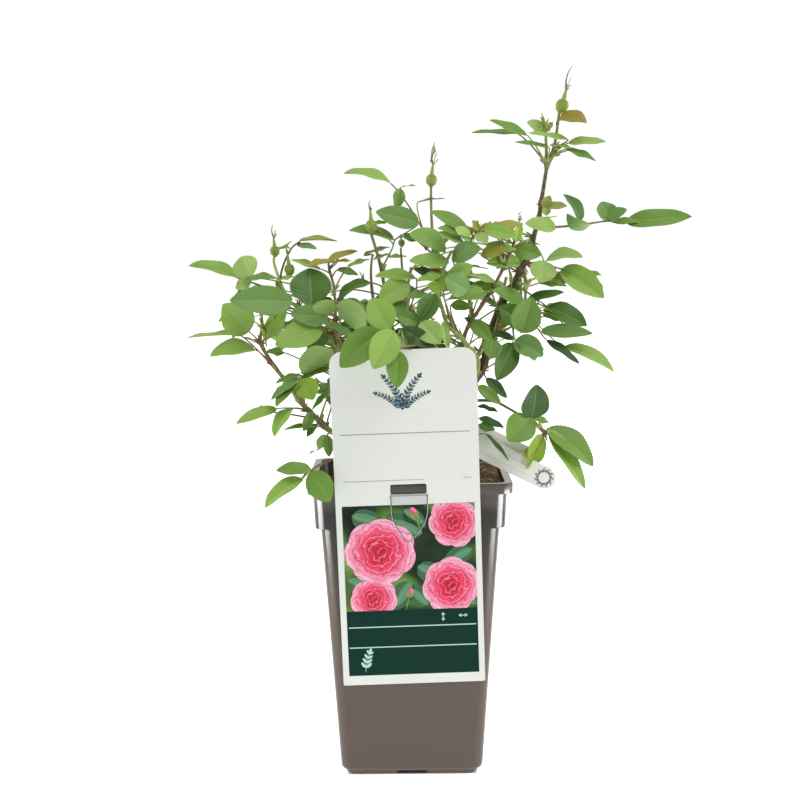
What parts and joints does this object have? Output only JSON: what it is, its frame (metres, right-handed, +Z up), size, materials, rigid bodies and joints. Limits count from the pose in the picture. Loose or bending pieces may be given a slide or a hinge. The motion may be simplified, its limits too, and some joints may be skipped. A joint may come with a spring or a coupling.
{
  "type": "potted rose bush",
  "caption": "Young rose bush with green leaves and unopened buds, growing in a tall square plastic nursery pot with a plain card label hooked on its lip.",
  "frame": {"origin": "centre of the pot's flat underside", "axes": "+Z up, -Y to the front where the card label hangs, +X to the right seen from the front"},
  "size_m": [0.4445, 0.309, 0.6216],
  "materials": {
    "pot": "satin",
    "compost": "matte",
    "card": "satin",
    "tag": "satin",
    "old_bark": "matte",
    "green_cane": "satin",
    "red_cane": "satin",
    "leaf": "satin",
    "bud": "satin"
  },
  "bodies": {
    "root": {"pot": "pot", "compost": "compost", "card_label": "card", "stem_tag_front": "tag", "stem_tag_back": "tag", "graft_stub": "old_bark", "right_old_cane": "old_bark", "right_tall_cane": "old_bark", "back_left_cane": "old_bark", "left_cane": "green_cane", "front_arching_cane": "green_cane", "centre_cane": "green_cane", "left_inner_cane": "green_cane", "back_middle_cane": "green_cane", "back_right_cane": "green_cane", "low_right_shoot": "green_cane", "low_left_stalk": "green_cane", "reddish_cane": "red_cane", "centre_bud_stalk": "red_cane", "right_long_stalk": "red_cane", "left_tip_leaves": "leaf", "left_upper_leaves": "leaf", "left_low_tip_leaves": "leaf", "left_mid_leaves": "leaf", "left_cane_leaves": "leaf", "left_hanging_leaf": "leaf", "left_rim_leaves": "leaf", "centre_left_leaves": "leaf", "centre_leaves": "leaf", "front_leaves": "leaf", "centre_top_leaves": "leaf", "centre_right_leaves": "leaf", "card_top_leaves": "leaf", "right_inner_leaves": "leaf", "right_mid_leaves": "leaf", "right_outer_leaves": "leaf", "right_low_outer_leaves": "leaf", "right_upper_leaves": "leaf", "right_tip_leaves": "leaf", "top_spray_leaves": "leaf", "right_low_leaves": "leaf", "right_low_tip_leaves": "leaf", "right_tag_leaves": "leaf", "right_card_leaves": "leaf", "back_left_leaves": "leaf", "back_middle_leaves": "leaf", "back_right_leaves": "leaf", "back_low_left_leaves": "leaf", "back_low_right_leaves": "leaf", "left_side_leaves": "leaf", "right_side_leaves": "leaf", "left_bud_tip": "bud", "centre_bud_tip": "bud", "top_bud_tip": "bud"}
  },
  "joints": []
}
